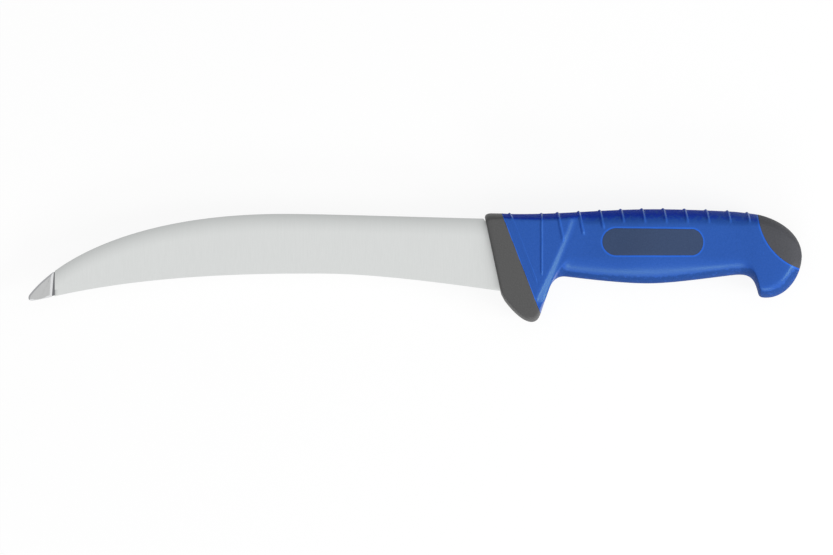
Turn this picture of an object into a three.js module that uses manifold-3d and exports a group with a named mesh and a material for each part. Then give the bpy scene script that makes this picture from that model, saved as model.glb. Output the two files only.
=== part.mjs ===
// Trimming knife: a curved steel blade with a blunt safety tip, set in a two-colour moulded handle.
//
// Design frame, in millimetres: x runs along the knife, 0 at the bolster's front edge, + to the butt and
// - to the tip. y is up to the spine, from the handle's axis. z is across the thickness, + to the left side.
// The finished knife lies on its right side, with the origin under the middle of its bounding box.
import * as THREE from "three";
import { mergeVertices, toCreasedNormals } from "three/addons/utils/BufferGeometryUtils.js";
import Module from "manifold-3d";

const wasm = await Module();
wasm.setup();

// Clearance left between pieces that are moulded, brazed or seated together.
const fitGap = 0.25;

// Blade outline. Places along the blade are distances from the bolster, heights are from the axis.
const bladeLength = 197;
const spineAtHeel = 12.2;
const spineCrown = 14.2;
const spineCrownAt = 86;
const spinePointHandle = 66;
const edgeAtHeel = -19;
const edgeHeelSlope = 8;
const edgeHollow = -11.7;
const edgeHollowAt = 80;
const noseHeight = -22;
const noseDepth = 3;

// Blade section: flat ground from a shoulder under the spine down to a small cutting bevel.
const stockThickness = 2.5;
const pointThickness = 1.7;
const spineEase = 0.2;
const spineShoulder = 5;
const bevelHeight = 1.2;
const bevelThickness = 0.5;
const edgeThickness = 0.1;
const heelDepth = 2.6;
const tangShoulder = 0.9;
const spineNotchLength = 1.1;
const spineNotchDepth = 1.9;

// Safety tip, brazed over a tongue on the end of the blade.
const tipLength = 11.5;
const tipThickness = 2.8;
const tipRim = 0.6;
const tongueLength = 6.5;
const tongueThickness = 0.9;
const tongueInset = 2.3;

// Tang, with holes that the handle's core is moulded through.
const tangLength = 108;
const tangHeight = 15;
const tangEndHeight = 10;
const tangHoleRadius = 3.5;
const tangHoleCount = 3;
const tangHoleStart = 38;
const tangHolePitch = 26;

// Handle outline, seen from the side.
const handleLength = 136;
const bolsterTop = 14.5;
const bolsterCorner = 1.7;
const bolsterLean = 12;
const bolsterHeel = -23.2;
const seamTopAt = 7.7;
const seamFootAt = 23.9;
const seamFoot = -28.8;
const wedgeTopAt = 39;
const wedgeTop = 14.95;
const wedgeFootAt = 25.6;
const wedgeFoot = -24.2;
const neckTopAt = 45;
const neckTop = 15.25;
const neckFootAt = 34;
const neckFoot = -13.25;
const palmAt = 73;
const palmTop = 16.25;
const palmFoot = -16.3;
const hookNeckSetback = 28.5;
const hookNeckTop = 15.05;
const hookNeckFoot = -12.4;
const hookSetback = 18;
const hookTop = 13.75;
const hookFoot = -22;
const buttHeight = -4.3;

// Handle thickness and the roundness of its back and belly.
const bolsterThickness = 22;
const wedgeThickness = 20.9;
const frontEdgeRound = 1.1;
const neckThickness = 18.2;
const palmThickness = 22;
const rearThickness = 20;
const hookThickness = 20.6;
const bolsterRound = 3.2;
const backRound = 6;
const neckBellyRound = 8;
const bellyRound = 11;
const hookNeckRound = 7;
const hookRound = 4.6;
const sectionFullness = 2.4;

// Slope on each flank where the thick wedge behind the bolster falls to the thinner neck.
const creaseTopAt = 39;
const creaseLean = 24;
const creaseWidth = 2.6;

// Handles of the outline's curves, as steps from the points that they belong to.
const spineNoseHandle = [11.3, 14.4];
const edgeHollowHandle = 16;
const edgeNoseHandle = [7, 0.7];
const noseBulge = 1.2;
const noseTopSetback = 0.7;
const noseFootSetback = 2;
const guardFrontHandle = [7, -9.1];
const guardRearHandle = [-2.1, -6.6];
const wedgeFootHandle = [2.6, 8.1];
const neckFrontHandle = [-4, 0];
const neckRearHandle = [8, -1];
const neckTopHandle = [9, 0.5];
const backDip = 0.5;
const palmHandle = 11;
const palmFootSetback = 3;
const hookNeckTopHandle = [10, -0.6];
const hookNeckFrontHandle = [-9, -1];
const hookNeckRearHandle = [7, 0.6];
const hookFrontHandle = [-2.4, 8.2];
const hookTopHandle = [3, -0.55];
const hookRearHandle = [9.4, -2.1];
const capTopHandle = [9.2, -2.6];
const buttTopHandle = 9.3;
const buttFootHandle = 9.4;
const capSeamTopHandle = [1.2, -11.5];
const capSeamEndHandle = [-11.7, 3.6];

// Moulded pieces of the handle.
const skinThickness = 3.6;
const skinSideThickness = 4;
const coreFrontShare = 0.5;
const coreEndShare = 0.58;
const capTopSetback = 18.7;
const capEndHeight = -9.8;
const inlayStart = 50.3;
const inlayLength = 42.8;
const inlayHeight = 11.4;
const inlayCentre = 2.05;
const inlayEndDepth = 5.2;
const inlayTaper = 0.5;
const inlayFlange = 1.2;
const inlayFlangeThickness = 1.2;

// Anti-slip ribs over the back of the grip.
const ribWidth = 1.6;
const ribCrestWidth = 0.8;
const ribHeight = 0.5;
const ribStart = 30.5;
const ribPitch = 9.15;
const ribCount = 10;
const ribLean = 12;
const ribFoot = 10.4;
const longRibFoot = 2.6;
const longRibCount = 3;
const wedgeRibAt = 24.2;
const wedgeRibFoot = -12;
const seamRibOffset = 2.6;
const seamRibFoot = -14.8;

// Facets.
const sectionSegments = 10;
const skinSteps = [2, 8, 4, 8, 6, 6, 8, 10];
const coreSteps = [1, 3, 2, 4, 2, 2, 4, 5];
const buttTrim = 0.015;
const bladeSteps = 34;

const degrees = THREE.MathUtils.degToRad;
const point = (x, y) => new THREE.Vector2(x, y);

// Closed solid from a three.js geometry, for joining and cutting.
function toSolid(geometry) {
  const bare = geometry.clone();
  bare.deleteAttribute("normal");
  bare.deleteAttribute("uv");
  const merged = mergeVertices(bare, 1e-4);
  const vertProperties = merged.attributes.position.array;
  const triVerts = new Uint32Array(merged.index.array);
  return new wasm.Manifold(new wasm.Mesh({ numProp: 3, vertProperties, triVerts }));
}

// Geometry of a finished solid, with hard edges kept sharp in the shading.
function toGeometry(solid) {
  const mesh = solid.getMesh();
  const geometry = new THREE.BufferGeometry();
  geometry.setAttribute("position", new THREE.BufferAttribute(mesh.vertProperties, mesh.numProp));
  geometry.setIndex(new THREE.BufferAttribute(mesh.triVerts, 1));
  return toCreasedNormals(geometry, degrees(30));
}

// Prism over a side-view shape, from one z to another.
function prism(shape, from, to) {
  const settings = { depth: to - from, bevelEnabled: false, curveSegments: 10 };
  return toSolid(new THREE.ExtrudeGeometry(shape, settings).translate(0, 0, from));
}

// Solid skinned over rings of points that follow each other along +x, closed by a fan at each end.
function loft(rings) {
  const count = rings[0].length;
  const points = rings.flat();
  const index = [];
  for (let ring = 0; ring < rings.length - 1; ring++) {
    for (let i = 0; i < count; i++) {
      const a = ring * count + i;
      const b = ring * count + ((i + 1) % count);
      index.push(a, b, a + count, b, b + count, a + count);
    }
  }
  const closeEnd = (ring, facesButt) => {
    const first = ring * count;
    const centre = rings[ring].reduce((sum, p) => sum.add(p), new THREE.Vector3()).divideScalar(count);
    points.push(centre);
    for (let i = 0; i < count; i++) {
      const a = first + i;
      const b = first + ((i + 1) % count);
      index.push(points.length - 1, ...(facesButt ? [a, b] : [b, a]));
    }
  };
  closeEnd(0, false);
  closeEnd(rings.length - 1, true);
  return toSolid(new THREE.BufferGeometry().setFromPoints(points).setIndex(index));
}

// Height of a curve over x, where the curve never turns back along x.
function heightAt(curve, x) {
  const rising = curve.getPoint(1).x > curve.getPoint(0).x;
  let low = 0;
  let high = 1;
  for (let i = 0; i < 40; i++) {
    const middle = (low + high) / 2;
    if (curve.getPoint(middle).x < x === rising) low = middle;
    else high = middle;
  }
  return curve.getPoint(low).y;
}

// The bolster's front face leans back from its top edge.
const frontFaceAt = (y) => (spineAtHeel - y) * Math.tan(degrees(bolsterLean));

// Blade outline: spine and edge, each a rise to the bolster and a sweep to the nose.
const noseTop = point(noseTopSetback - bladeLength, noseHeight + noseDepth / 2);
const noseFoot = point(noseFootSetback - bladeLength, noseHeight - noseDepth / 2);
const edgeHeel = point(frontFaceAt(edgeAtHeel), edgeAtHeel);
const edgeHeelHandle = 0.65 * (edgeHollowAt + edgeHeel.x);
const spineRear = new THREE.CubicBezierCurve(
  point(0, spineAtHeel),
  point(-0.5 * spineCrownAt, spineAtHeel + 0.55 * (spineCrown - spineAtHeel)),
  point(-0.8 * spineCrownAt, spineCrown),
  point(-spineCrownAt, spineCrown),
);
const spineFront = new THREE.CubicBezierCurve(
  point(-spineCrownAt, spineCrown),
  point(-spineCrownAt - spinePointHandle, spineCrown),
  noseTop.clone().add(point(...spineNoseHandle)),
  noseTop,
);
const edgeRear = new THREE.CubicBezierCurve(
  edgeHeel,
  point(edgeHeel.x - edgeHeelHandle, edgeAtHeel + edgeHeelHandle * Math.tan(degrees(edgeHeelSlope))),
  point(edgeHollowHandle - edgeHollowAt, edgeHollow),
  point(-edgeHollowAt, edgeHollow),
);
const edgeFront = new THREE.CubicBezierCurve(
  point(-edgeHollowAt, edgeHollow),
  point(-edgeHollowAt - 0.68 * (bladeLength - edgeHollowAt), edgeHollow),
  noseFoot.clone().add(point(...edgeNoseHandle)),
  noseFoot,
);
const tipSeat = tipLength - bladeLength;

function spineHeight(x) {
  if (x > 0) return spineAtHeel;
  return heightAt(x > -spineCrownAt ? spineRear : spineFront, x);
}

function edgeLevel(x) {
  if (x > edgeHeel.x) return edgeAtHeel - (x - edgeHeel.x) * Math.tan(degrees(edgeHeelSlope));
  return heightAt(x > -edgeHollowAt ? edgeRear : edgeFront, x);
}

// One section of the blade at x: spine, shoulder, bevel and edge on each side.
function bladeRing(x, grow) {
  const taper = Math.min(1, Math.max(0, x / tipSeat));
  const half = THREE.MathUtils.lerp(stockThickness, pointThickness, taper) / 2 + grow;
  const top = spineHeight(x) + grow;
  const foot = edgeLevel(x) - grow;
  const side = [
    [top, half - spineEase],
    [top - spineShoulder / 3, half - spineEase / 3],
    [top - spineShoulder, half],
    [foot + bevelHeight, bevelThickness / 2 + grow],
    [foot, edgeThickness / 2 + grow],
  ];
  const mirrored = side.map(([y, z]) => [y, -z]).reverse();
  return [...side, ...mirrored].map(([y, z]) => new THREE.Vector3(x, y, z));
}

// Side-view half plane in front of the bolster's front face, moved back by some depth.
function frontOf(depth) {
  const top = bolsterTop + palmThickness;
  const foot = -top - bolsterTop;
  const front = -2 * bladeLength;
  return new THREE.Shape([
    point(front, foot),
    point(frontFaceAt(foot) + depth, foot),
    point(frontFaceAt(top) + depth, top),
    point(front, top),
  ]);
}

// Tang outline, tapering to a rounded end, with its holes where asked.
function tangShape(grow, holeRadius) {
  const end = tangLength - tangEndHeight / 2;
  const shape = new THREE.Shape();
  shape.moveTo(-grow, tangHeight / 2 + grow);
  shape.lineTo(-grow, -tangHeight / 2 - grow);
  shape.lineTo(end, -tangEndHeight / 2 - grow);
  shape.absarc(end, 0, tangEndHeight / 2 + grow, -Math.PI / 2, Math.PI / 2, false);
  shape.closePath();
  for (let i = 0; i < tangHoleCount; i++) {
    const hole = new THREE.Path();
    hole.absarc(tangHoleStart + i * tangHolePitch, 0, holeRadius, 0, 2 * Math.PI, true);
    shape.holes.push(hole);
  }
  return shape;
}

// Blade and tang, grown all round where the shape is used as the hollow that takes them.
function bladeForm(grow) {
  const heelEnd = frontFaceAt(edgeAtHeel) + heelDepth + bevelHeight;
  const rings = [];
  for (let i = 0; i <= bladeSteps; i++) {
    rings.push(bladeRing(THREE.MathUtils.lerp(tipSeat, heelEnd, i / bladeSteps), grow));
  }
  const reach = stockThickness + grow;
  const leaf = loft(rings).intersect(prism(frontOf(heelDepth + grow), -reach, reach));
  const thickness = stockThickness / 2 + grow;
  const tang = prism(tangShape(grow, tangHoleRadius - grow), -thickness, thickness);
  return leaf.add(tang.subtract(prism(frontOf(tangShoulder - grow), -reach, reach)));
}

// Tongue on the end of the blade, inside the outline of the safety tip.
function tongueForm(grow) {
  const root = tipSeat + tongueInset;
  const end = tipSeat - tongueLength;
  const inset = tongueInset - grow;
  const shape = new THREE.Shape([
    point(root, spineHeight(tipSeat) - inset),
    point(end - grow, spineHeight(end) - inset),
    point(end - grow, edgeLevel(end) + inset),
    point(root, edgeLevel(tipSeat) + inset),
  ]);
  return prism(shape, -tongueThickness / 2 - grow, tongueThickness / 2 + grow);
}

// Small corner taken off the spine where it runs into the bolster.
function spineNotch() {
  const above = spineAtHeel + stockThickness;
  const shape = new THREE.Shape([
    point(-spineNotchLength, above),
    point(-spineNotchLength, spineAtHeel),
    point(frontFaceAt(spineAtHeel - spineNotchDepth), spineAtHeel - spineNotchDepth),
    point(frontFaceAt(above) + heelDepth / 2, above),
  ]);
  return prism(shape, -stockThickness, stockThickness);
}

function makeBlade() {
  return bladeForm(0).add(tongueForm(0)).subtract(spineNotch());
}

// Safety tip: a pad with a rounded rim that carries on the blade's outline to a blunt nose.
function makeTipGuard() {
  const seat = tipSeat - fitGap;
  const samples = 6;
  const placeAt = (i) => THREE.MathUtils.lerp(seat, noseFoot.x, i / samples);
  const shape = new THREE.Shape();
  shape.moveTo(seat, edgeLevel(seat));
  shape.lineTo(seat, spineHeight(seat));
  for (let i = 1; i <= samples; i++) shape.lineTo(placeAt(i), spineHeight(placeAt(i)));
  shape.bezierCurveTo(noseTop.x, noseTop.y, noseTop.x - noseBulge, noseFoot.y, noseFoot.x, noseFoot.y);
  for (let i = samples - 1; i > 0; i--) shape.lineTo(placeAt(i), edgeLevel(placeAt(i)));
  shape.closePath();
  const pad = new THREE.ExtrudeGeometry(shape, {
    depth: tipThickness - 2 * tipRim,
    bevelThickness: tipRim,
    bevelSize: tipRim,
    bevelOffset: -tipRim,
    bevelSegments: 4,
    curveSegments: 8,
  });
  pad.translate(0, 0, tipRim - tipThickness / 2);
  return toSolid(pad).subtract(tongueForm(fitGap));
}

// Handle outline as matching spans of the back and the belly, from the front face to the butt.
const bolsterFrontTop = point(frontFaceAt(bolsterTop - bolsterCorner), bolsterTop - bolsterCorner);
const bolsterFrontFoot = point(frontFaceAt(bolsterHeel + frontEdgeRound), bolsterHeel + frontEdgeRound);
const bolsterFoot = point(frontFaceAt(bolsterHeel) + frontEdgeRound / 2, bolsterHeel - frontEdgeRound / 2);
const hookAt = handleLength - hookSetback;
const hookNeckAt = handleLength - hookNeckSetback;

// Curve on from a path's end, with a handle at each end given as a step from that end.
function sweep(path, leave, arrive, end) {
  const start = path.currentPoint;
  path.bezierCurveTo(start.x + leave[0], start.y + leave[1], end[0] + arrive[0], end[1] + arrive[1], ...end);
}

const backLine = new THREE.Path();
backLine.moveTo(bolsterFrontTop.x, bolsterFrontTop.y);
backLine.quadraticCurveTo(frontFaceAt(bolsterTop), bolsterTop, bolsterCorner, bolsterTop);
backLine.lineTo(seamTopAt, bolsterTop);
sweep(backLine, [wedgeTopAt / 4, -backDip], [-wedgeTopAt / 4, -backDip], [wedgeTopAt, wedgeTop]);
backLine.lineTo(neckTopAt, neckTop);
sweep(backLine, neckTopHandle, [-palmHandle, 0], [palmAt, palmTop]);
sweep(backLine, [palmHandle, 0], hookNeckTopHandle.map((step) => -step), [hookNeckAt, hookNeckTop]);
sweep(backLine, hookTopHandle, hookTopHandle.map((step) => -step), [hookAt, hookTop]);
sweep(backLine, capTopHandle, [0, buttTopHandle], [handleLength, buttHeight]);

const bellyLine = new THREE.Path();
bellyLine.moveTo(bolsterFrontFoot.x, bolsterFrontFoot.y);
bellyLine.lineTo(bolsterFoot.x, bolsterFoot.y);
sweep(bellyLine, guardFrontHandle, guardRearHandle, [seamFootAt, seamFoot]);
bellyLine.lineTo(wedgeFootAt, wedgeFoot);
sweep(bellyLine, wedgeFootHandle, neckFrontHandle, [neckFootAt, neckFoot]);
sweep(bellyLine, neckRearHandle, [-palmHandle, 0], [palmAt - palmFootSetback, palmFoot]);
sweep(bellyLine, [palmHandle, 0], hookNeckFrontHandle, [hookNeckAt, hookNeckFoot]);
sweep(bellyLine, hookNeckRearHandle, hookFrontHandle, [hookAt, hookFoot]);
sweep(bellyLine, hookRearHandle, [0, -buttFootHandle], [handleLength, buttHeight]);

// Thickness and rounding at the ends of those spans: of the grip, and of the bolster and wedge over its front.
const gripSections = {
  thickness: [
    neckThickness, neckThickness, neckThickness, neckThickness, neckThickness,
    palmThickness, rearThickness, hookThickness, hookThickness,
  ],
  back: [backRound, backRound, backRound, backRound, backRound, backRound, backRound, backRound, backRound],
  belly: [
    hookRound, hookRound, hookRound, hookRound, neckBellyRound,
    bellyRound, hookNeckRound, hookRound, hookRound,
  ],
};
const wedgeSections = {
  thickness: [
    bolsterThickness - 2 * frontEdgeRound, bolsterThickness, bolsterThickness, wedgeThickness, neckThickness,
  ],
  back: [bolsterRound, bolsterRound, bolsterRound, bolsterRound, backRound],
  belly: [bolsterRound, bolsterRound, bolsterRound, hookRound, neckBellyRound],
};
const neckPlace = wedgeSections.thickness.length - 1;
const lastSpan = gripSections.thickness.length - 2;

// Smooth value along the spans that never passes the values at its span's ends.
function along(values, span, t) {
  const slope = (i) => {
    const before = values[i] - values[Math.max(0, i - 1)];
    const after = values[Math.min(values.length - 1, i + 1)] - values[i];
    return before * after > 0 ? (2 * before * after) / (before + after) : 0;
  };
  const rise = values[span + 1] - values[span];
  const start = slope(span);
  const end = slope(span + 1);
  return values[span] + t * (start + t * (3 * rise - 2 * start - end + t * (start + end - 2 * rise)));
}

// One section of the handle: flat flanks between a rounded back and a rounded belly, inset from the skin.
function handleRing(sections, span, t, inset, sideInset) {
  const top = backLine.curves[span].getPoint(t);
  const foot = bellyLine.curves[span].getPoint(t);
  const length = top.distanceTo(foot);
  const up = top.clone().sub(foot).divideScalar(length);
  const buttFade = span === lastSpan ? Math.sqrt(1 - t ** 4) : 1;
  const half = (along(sections.thickness, span, t) / 2) * buttFade - sideInset;
  const back = Math.min(along(sections.back, span, t), 0.45 * length) - inset / 2;
  const belly = Math.min(along(sections.belly, span, t), 0.45 * length) - inset / 2;
  const ring = [];
  const arc = (fromTop, round, turn) => {
    for (let i = 0; i <= sectionSegments; i++) {
      const angle = (Math.PI * i) / sectionSegments;
      const across = Math.cos(angle);
      const share = Math.abs(across) ** (2 / sectionFullness) * Math.sign(across);
      const rise = Math.sin(angle) ** (2 / sectionFullness);
      const height = fromTop ? length - inset - round * (1 - rise) : inset + round * (1 - rise);
      ring.push(new THREE.Vector3(foot.x + up.x * height, foot.y + up.y * height, turn * half * share));
    }
  };
  arc(true, back, -1);
  arc(false, belly, 1);
  return ring;
}

// Handle form between two places, counted in spans, inset from the outer skin.
function handleForm(sections, spanSteps, from, to, inset, sideInset) {
  const rings = [];
  spanSteps.forEach((steps, span) => {
    for (let i = 0; i < steps; i++) {
      const t = i / steps;
      if (span + t > from && span + t < to) rings.push(handleRing(sections, span, t, inset, sideInset));
    }
  });
  const end = (place, span) => handleRing(sections, span, place - span, inset, sideInset);
  return loft([end(from, Math.floor(from)), ...rings, end(to, Math.ceil(to) - 1)]);
}

// Everything in front of the crease: a block along it whose two sloping faces meet at the middle plane.
function creaseBlock(grow) {
  const lean = degrees(creaseLean);
  const slope = creaseWidth / (wedgeThickness / 2 - neckThickness / 2);
  const tip = slope * (wedgeThickness / 2 + grow);
  const corner = tip - slope * palmThickness;
  const shape = new THREE.Shape([
    point(-handleLength, -palmThickness),
    point(corner, -palmThickness),
    point(tip, 0),
    point(corner, palmThickness),
    point(-handleLength, palmThickness),
  ]);
  const block = new THREE.ExtrudeGeometry(shape, { depth: 2 * handleLength, bevelEnabled: false });
  block.translate(0, 0, -handleLength);
  const behind = new THREE.Vector3(Math.cos(lean), -Math.sin(lean), 0);
  const left = new THREE.Vector3(0, 0, 1);
  const place = new THREE.Matrix4().makeBasis(behind, left, behind.clone().cross(left));
  return toSolid(block.applyMatrix4(place.setPosition(creaseTopAt, wedgeTop, 0)));
}

// Whole outer form of the handle, grown all round where ribs stand on it.
function handleSkin(grow) {
  const buttPlace = lastSpan + 1 - buttTrim;
  const grip = handleForm(gripSections, skinSteps, 1 + coreFrontShare, buttPlace, -grow, -grow);
  const front = handleForm(wedgeSections, skinSteps, 0, neckPlace, -grow, -grow);
  return grip.add(front.intersect(creaseBlock(grow)));
}

const outerForm = handleSkin(0);

// Side-view zone of the bolster, in front of its slanting seam, moved back by some distance.
const seamLean = (seamFootAt - seamTopAt) / (bolsterTop - seamFoot);
const seamAt = (y) => seamTopAt + (bolsterTop - y) * seamLean;

function bolsterZone(back) {
  const top = bolsterTop + palmThickness;
  const foot = seamFoot - palmThickness;
  return new THREE.Shape([
    point(-handleLength, foot),
    point(seamAt(foot) + back, foot),
    point(seamAt(top) + back, top),
    point(-handleLength, top),
  ]);
}

// Side-view zone of the butt cap, behind its curved seam, moved back by some distance.
function capZone(back) {
  const top = handleLength - capTopSetback + back;
  const end = capEndHeight + back;
  const shape = new THREE.Shape();
  shape.moveTo(top, bolsterTop + palmThickness);
  shape.lineTo(top, bolsterTop);
  sweep(shape, capSeamTopHandle, capSeamEndHandle, [handleLength, end]);
  shape.lineTo(2 * handleLength, end);
  shape.lineTo(2 * handleLength, bolsterTop + palmThickness);
  shape.closePath();
  return shape;
}

// Hard core inside the grip, and the same shape grown to be the hollow that it fills.
function coreForm(grow) {
  const start = 1 + coreFrontShare;
  const end = lastSpan + coreEndShare;
  return handleForm(gripSections, coreSteps, start, end, skinThickness - grow, skinSideThickness - grow);
}

const coreHollow = coreForm(fitGap);

function makeCore() {
  const thickness = stockThickness / 2 + fitGap;
  const tangHollow = prism(tangShape(fitGap, tangHoleRadius - fitGap), -thickness, thickness);
  return coreForm(0).subtract(tangHollow);
}

// Inlay outline: a bar with half-oval ends.
function inlayShape(grow) {
  const half = inlayHeight / 2 + grow;
  const depth = inlayEndDepth + grow;
  const shape = new THREE.Shape();
  shape.absellipse(inlayStart + inlayEndDepth, inlayCentre, depth, half, Math.PI / 2, 1.5 * Math.PI, false, 0);
  const rear = inlayStart + inlayLength - inlayEndDepth;
  const rearHalf = half - inlayTaper / 2;
  shape.absellipse(rear, inlayCentre - inlayTaper / 2, depth, rearHalf, 1.5 * Math.PI, 2.5 * Math.PI, false, 0);
  shape.closePath();
  return shape;
}

// Inlay with the flange that the grip is moulded over, on the left side (+1) or the right side (-1).
function inlayForm(side, grow) {
  const far = palmThickness;
  const seat = stockThickness;
  const toSide = (from, to) => (side > 0 ? [from, to] : [-to, -from]);
  const bar = prism(inlayShape(grow), ...toSide(seat, far));
  const flangeLevel = skinSideThickness - fitGap - inlayFlangeThickness - grow;
  const flangeTop = handleForm(gripSections, coreSteps, 1, lastSpan, skinThickness, flangeLevel);
  const flange = prism(inlayShape(inlayFlange + grow), ...toSide(seat, far)).intersect(flangeTop);
  return bar.add(flange);
}

const makeInlay = (side) => inlayForm(side, 0).intersect(outerForm).subtract(coreHollow);

// Ribs: strips across the back, each a low base with a narrower crest, that stop part way down the flanks.
function ribStrip(topAt, top, footAt, foot, width) {
  const lean = new THREE.Vector2(footAt - topAt, foot - top).normalize();
  const over = ribWidth + ribHeight;
  const across = (x, y, side) => point(x + (side * lean.y * width) / 2, y - (side * lean.x * width) / 2);
  const start = point(topAt - lean.x * over, top - lean.y * over);
  const tail = point(footAt + (lean.x * width) / 2, foot + (lean.y * width) / 2);
  return new THREE.Shape([
    across(start.x, start.y, -1),
    across(start.x, start.y, 1),
    across(footAt, foot, 1),
    tail,
    across(footAt, foot, -1),
  ]);
}

function makeRibs() {
  const lines = [
    [seamAt(bolsterTop) + seamRibOffset, bolsterTop, seamAt(seamRibFoot) + seamRibOffset, seamRibFoot],
    [wedgeRibAt, bolsterTop, wedgeRibAt, wedgeRibFoot],
  ];
  for (let i = 0; i < ribCount; i++) {
    const at = ribStart + i * ribPitch;
    const shortening = Math.min(1, i / longRibCount);
    const foot = THREE.MathUtils.lerp(longRibFoot, ribFoot, shortening);
    lines.push([at, palmTop, at + (palmTop - foot) * Math.tan(degrees(ribLean)), foot]);
  }
  const layer = (height, width) => {
    const strips = lines.map((line) => prism(ribStrip(...line, width), -palmThickness, palmThickness));
    return wasm.Manifold.union(strips).intersect(handleSkin(height));
  };
  const flankSlab = prism(bolsterZone(2 * handleLength), -bolsterThickness / 2, bolsterThickness / 2);
  return layer(ribHeight / 2, ribWidth).add(layer(ribHeight, ribCrestWidth)).intersect(flankSlab);
}

function makeBolster() {
  const zone = prism(bolsterZone(-fitGap / 2), -palmThickness, palmThickness);
  return outerForm.intersect(zone).subtract(bladeForm(fitGap)).subtract(coreHollow);
}

function makeGrip() {
  const reach = 2 * palmThickness;
  return outerForm
    .add(makeRibs())
    .subtract(prism(bolsterZone(fitGap / 2), -reach, reach))
    .subtract(prism(capZone(-fitGap / 2), -reach, reach))
    .subtract(coreHollow)
    .subtract(inlayForm(1, fitGap))
    .subtract(inlayForm(-1, fitGap));
}

function makeButtCap() {
  const zone = prism(capZone(fitGap / 2), -palmThickness, palmThickness);
  return outerForm.intersect(zone).subtract(coreHollow);
}

function piece(name, solid, color, roughness, metalness) {
  const material = new THREE.MeshStandardMaterial({ color, roughness, metalness });
  const mesh = new THREE.Mesh(toGeometry(solid), material);
  mesh.name = name;
  return mesh;
}

const pieces = new THREE.Group();
pieces.add(piece("blade", makeBlade(), 0xd8dad9, 0.3, 1));
pieces.add(piece("tip_guard", makeTipGuard(), 0xbfc1c0, 0.25, 1));
pieces.add(piece("handle_core", makeCore(), 0x6a6a6c, 0.6, 0));
pieces.add(piece("front_bolster", makeBolster(), 0x59595a, 0.6, 0));
pieces.add(piece("grip_sleeve", makeGrip(), 0x2f59b0, 0.45, 0));
pieces.add(piece("left_inlay", makeInlay(1), 0x3e4c69, 0.55, 0));
pieces.add(piece("right_inlay", makeInlay(-1), 0x3e4c69, 0.55, 0));
pieces.add(piece("butt_cap", makeButtCap(), 0x54555a, 0.6, 0));

// The knife lies on its right side, over the middle of its own box.
const box = new THREE.Box3().setFromObject(pieces);
const middle = box.getCenter(new THREE.Vector3());
pieces.position.set(-middle.x, -middle.y, -box.min.z);

const knife = new THREE.Group();
knife.name = "trimming_knife";
knife.add(pieces);

export default knife;
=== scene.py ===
import math
import bpy
import bmesh
from mathutils import Matrix, Vector


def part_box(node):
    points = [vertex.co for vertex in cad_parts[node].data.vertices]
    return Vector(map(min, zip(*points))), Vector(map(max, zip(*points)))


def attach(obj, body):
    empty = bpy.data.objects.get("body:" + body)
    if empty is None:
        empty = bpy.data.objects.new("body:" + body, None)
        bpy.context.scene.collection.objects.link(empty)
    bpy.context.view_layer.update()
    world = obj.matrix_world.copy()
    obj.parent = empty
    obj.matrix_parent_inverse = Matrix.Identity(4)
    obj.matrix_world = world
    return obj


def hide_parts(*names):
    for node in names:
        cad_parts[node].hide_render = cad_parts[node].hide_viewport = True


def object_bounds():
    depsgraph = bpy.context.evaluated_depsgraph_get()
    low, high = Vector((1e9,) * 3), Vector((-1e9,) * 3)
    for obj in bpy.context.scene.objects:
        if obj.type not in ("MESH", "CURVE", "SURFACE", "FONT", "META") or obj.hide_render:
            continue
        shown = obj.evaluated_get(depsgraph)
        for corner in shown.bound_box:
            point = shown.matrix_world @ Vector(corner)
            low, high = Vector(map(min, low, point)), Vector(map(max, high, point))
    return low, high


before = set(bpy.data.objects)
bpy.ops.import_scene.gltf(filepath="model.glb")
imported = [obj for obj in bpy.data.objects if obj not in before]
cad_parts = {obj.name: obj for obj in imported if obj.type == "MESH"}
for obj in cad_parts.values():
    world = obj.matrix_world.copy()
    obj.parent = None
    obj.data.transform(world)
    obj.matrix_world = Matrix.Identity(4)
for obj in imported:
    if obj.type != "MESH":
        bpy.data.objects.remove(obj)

cadLow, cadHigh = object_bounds()
mm = 0.001

# Places are drawn in millimetres in side view: zero is the bolster's front under the spine,
# x runs to the butt, y up to the back, z across the knife from its middle.
drawing = {
    "buttAt": 136.0,
    "bolsterBack": 14.5,
    "seamTop": (6.9, 14.5),    # seam between bolster and grip
    "seamFoot": (23.7, -28.8),
    "pieceGap": 0.03,
    "cutReach": 20.0,          # cutters stand out this far from the middle
}
zero = Vector((
    cadHigh.x - drawing["buttAt"] * mm,
    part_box("front_bolster")[1].y - drawing["bolsterBack"] * mm,
    (cadLow.z + cadHigh.z) / 2,
))


def at(x, y, z=0.0):
    return zero + Vector((x, y, z)) * mm


def drawn(place):
    return (place - zero) / mm


def onCurve(points, t):
    points = [Vector(p) for p in points]
    while len(points) > 1:
        points = [a.lerp(b, t) for a, b in zip(points, points[1:])]
    return points[0]


def tracePath(spans, steps):
    path = [onCurve(spans[0], 0)]
    for span in spans:
        path += [onCurve(span, (i + 1) / steps) for i in range(steps)]
    return path


def heightOn(path, x):
    for a, b in zip(path, path[1:]):
        if min(a.x, b.x) <= x <= max(a.x, b.x):
            return a.y + (b.y - a.y) * (x - a.x) / (b.x - a.x)
    return min(path, key=lambda p: abs(p.x - x)).y


def ease(t):
    t = max(0.0, min(1.0, t))
    return t * t * (3 - 2 * t)


def onlyThis(piece):
    if bpy.context.mode != "OBJECT":
        bpy.ops.object.mode_set(mode="OBJECT")
    bpy.ops.object.select_all(action="DESELECT")
    piece.select_set(True)
    bpy.context.view_layer.objects.active = piece


def openEdit(piece):
    onlyThis(piece)
    bpy.ops.object.mode_set(mode="EDIT")
    bpy.ops.mesh.select_mode(type="VERT")


def closeEdit():
    bpy.ops.object.mode_set(mode="OBJECT")


def pick(piece, test):
    net = bmesh.from_edit_mesh(piece.data)
    for v in net.verts:
        v.select = test(drawn(v.co))
    net.select_flush_mode()
    bmesh.update_edit_mesh(piece.data)


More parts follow.
